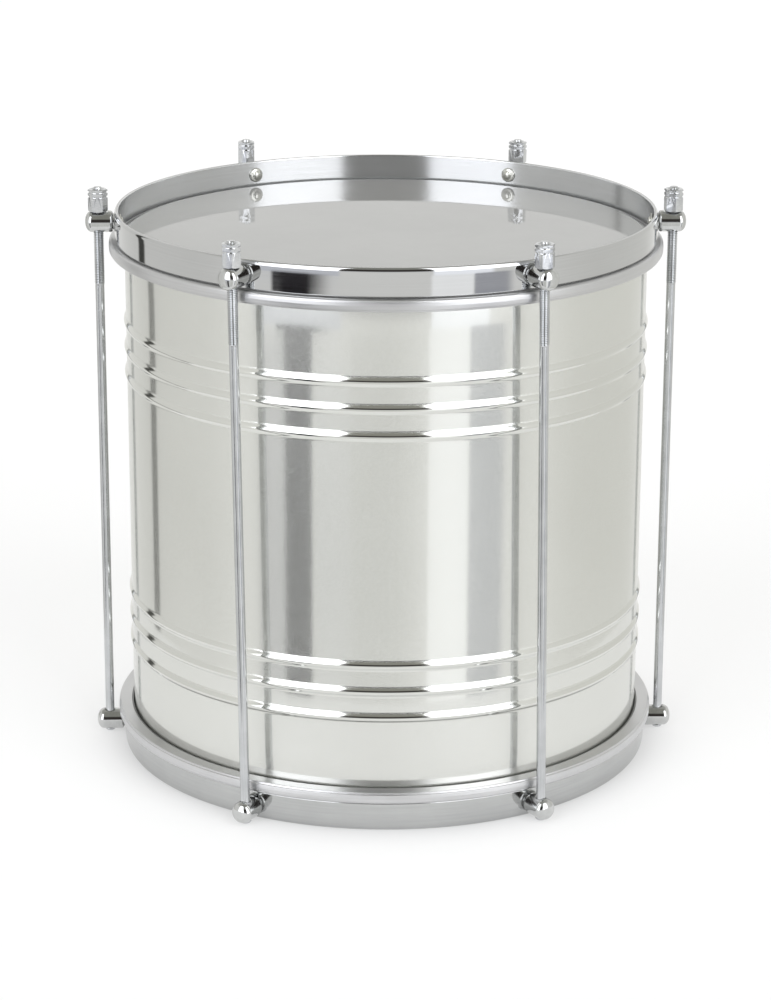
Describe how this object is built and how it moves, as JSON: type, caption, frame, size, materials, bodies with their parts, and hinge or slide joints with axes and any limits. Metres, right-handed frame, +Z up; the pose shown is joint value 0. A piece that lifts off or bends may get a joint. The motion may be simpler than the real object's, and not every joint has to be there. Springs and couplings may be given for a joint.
{
  "type": "repinique drum",
  "caption": "Double-headed cylindrical samba drum: beaded aluminium shell, recessed heads, flat hoops and long tension rods with nuts that lift the upper hoop.",
  "frame": {"origin": "on the drum's axis at the bottom hoop's lower edge, the plane the drum stands on", "axes": "+Z up along the drum's axis to the playing head; -Y is the front of the picture; tension rods stand at 0, 60, 120, 180, 240 and 300 degrees from +X, each within about 1 degree, and lean by up to 0.9 degrees, as the lugs are spaced and the top hoop is turned"},
  "size_m": [0.3504, 0.323, 0.3372],
  "materials": {
    "shell_aluminium": "polished",
    "head_film": "smooth translucent film",
    "head_ring": "satin",
    "hoop_chrome": "mirror outside, drawn inside",
    "hoop_satin": "dull chrome",
    "lug_chrome": "mirror",
    "screw_steel": "turned",
    "rod_zinc": "bright zinc",
    "nut_zinc": "bright zinc, turned"
  },
  "bodies": {
    "drum": {"shell": "shell_aluminium", "top_head_film": "head_film", "top_head_ring": "head_ring", "bottom_head_film": "head_film", "bottom_head_ring": "head_ring", "bottom_hoop": "hoop_satin", "bottom_lug_1": "lug_chrome", "bottom_lug_screw_1": "screw_steel", "tension_rod_1": "rod_zinc", "bottom_lug_2": "lug_chrome", "bottom_lug_screw_2": "screw_steel", "tension_rod_2": "rod_zinc", "bottom_lug_3": "lug_chrome", "bottom_lug_screw_3": "screw_steel", "tension_rod_3": "rod_zinc", "bottom_lug_4": "lug_chrome", "bottom_lug_screw_4": "screw_steel", "tension_rod_4": "rod_zinc", "bottom_lug_5": "lug_chrome", "bottom_lug_screw_5": "screw_steel", "tension_rod_5": "rod_zinc", "bottom_lug_6": "lug_chrome", "bottom_lug_screw_6": "screw_steel", "tension_rod_6": "rod_zinc"},
    "top_hoop_set": {"top_hoop": "hoop_chrome", "top_lug_1": "lug_chrome", "top_lug_screw_1": "screw_steel", "top_lug_2": "lug_chrome", "top_lug_screw_2": "screw_steel", "top_lug_3": "lug_chrome", "top_lug_screw_3": "screw_steel", "top_lug_4": "lug_chrome", "top_lug_screw_4": "screw_steel", "top_lug_5": "lug_chrome", "top_lug_screw_5": "screw_steel", "top_lug_6": "lug_chrome", "top_lug_screw_6": "screw_steel"},
    "nut_1": {"tension_nut_1": "nut_zinc"},
    "nut_2": {"tension_nut_2": "nut_zinc"},
    "nut_3": {"tension_nut_3": "nut_zinc"},
    "nut_4": {"tension_nut_4": "nut_zinc"},
    "nut_5": {"tension_nut_5": "nut_zinc"},
    "nut_6": {"tension_nut_6": "nut_zinc"}
  },
  "joints": [
    {"name": "top_hoop_lift", "type": "slide", "parent": "drum", "child": "top_hoop_set", "axis": [0, 0, 1], "range_m": [0, 0.01]},
    {"name": "nut_1_turn", "type": "hinge", "parent": "top_hoop_set", "child": "nut_1", "pos_m": [0.1675, -0.00118, 0.3227], "axis": [0, -0.0009, 1], "range_deg": [0, 3601]},
    {"name": "nut_2_turn", "type": "hinge", "parent": "top_hoop_set", "child": "nut_2", "pos_m": [0.08569, 0.14392, 0.32268], "axis": [0.0086, -0.005, 1], "range_deg": [0, 3601]},
    {"name": "nut_3_turn", "type": "hinge", "parent": "top_hoop_set", "child": "nut_3", "pos_m": [-0.08425, 0.14477, 0.3227], "axis": [0.0008, 0.0005, 1], "range_deg": [0, 3601]},
    {"name": "nut_4_turn", "type": "hinge", "parent": "top_hoop_set", "child": "nut_4", "pos_m": [-0.1675, -0.00056, 0.3227], "axis": [0, 0.0038, 1], "range_deg": [0, 3601]},
    {"name": "nut_5_turn", "type": "hinge", "parent": "top_hoop_set", "child": "nut_5", "pos_m": [-0.08648, -0.14345, 0.32266], "axis": [-0.0139, 0.0081, 0.9999], "range_deg": [0, 3601]},
    {"name": "nut_6_turn", "type": "hinge", "parent": "top_hoop_set", "child": "nut_6", "pos_m": [0.0819, -0.14611, 0.32267], "axis": [-0.0123, -0.0071, 0.9999], "range_deg": [0, 3601]}
  ],
  "couplings": [
    {"joint": "nut_1_turn", "follows": "top_hoop_lift", "rad_per_m": 6283.2},
    {"joint": "nut_2_turn", "follows": "top_hoop_lift", "rad_per_m": 6283.2},
    {"joint": "nut_3_turn", "follows": "top_hoop_lift", "rad_per_m": 6283.2},
    {"joint": "nut_4_turn", "follows": "top_hoop_lift", "rad_per_m": 6283.2},
    {"joint": "nut_5_turn", "follows": "top_hoop_lift", "rad_per_m": 6283.2},
    {"joint": "nut_6_turn", "follows": "top_hoop_lift", "rad_per_m": 6283.2}
  ]
}
